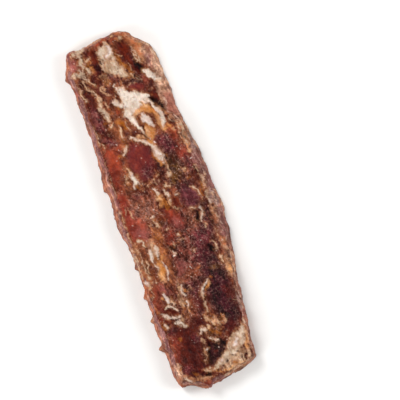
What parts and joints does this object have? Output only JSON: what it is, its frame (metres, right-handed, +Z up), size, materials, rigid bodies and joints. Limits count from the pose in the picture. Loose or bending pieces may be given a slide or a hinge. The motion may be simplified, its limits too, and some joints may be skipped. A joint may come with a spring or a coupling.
{
  "type": "dried meat strip",
  "caption": "Flat strip of dried meat with marbled lean and fat, a raised rim, sloping cut sides and a flat underside to rest on.",
  "frame": {"origin": "middle of the strip's box, on the surface that the strip lies on", "axes": "+X along the strip from its broad head end to its tail end, +Y across it, +Z up out of the marbled face"},
  "size_m": [0.1518, 0.0454, 0.009],
  "materials": {
    "dried_meat": "uneven satin, dry fat and glossier lean"
  },
  "bodies": {
    "root": {"meat_strip": "dried_meat"}
  },
  "joints": []
}
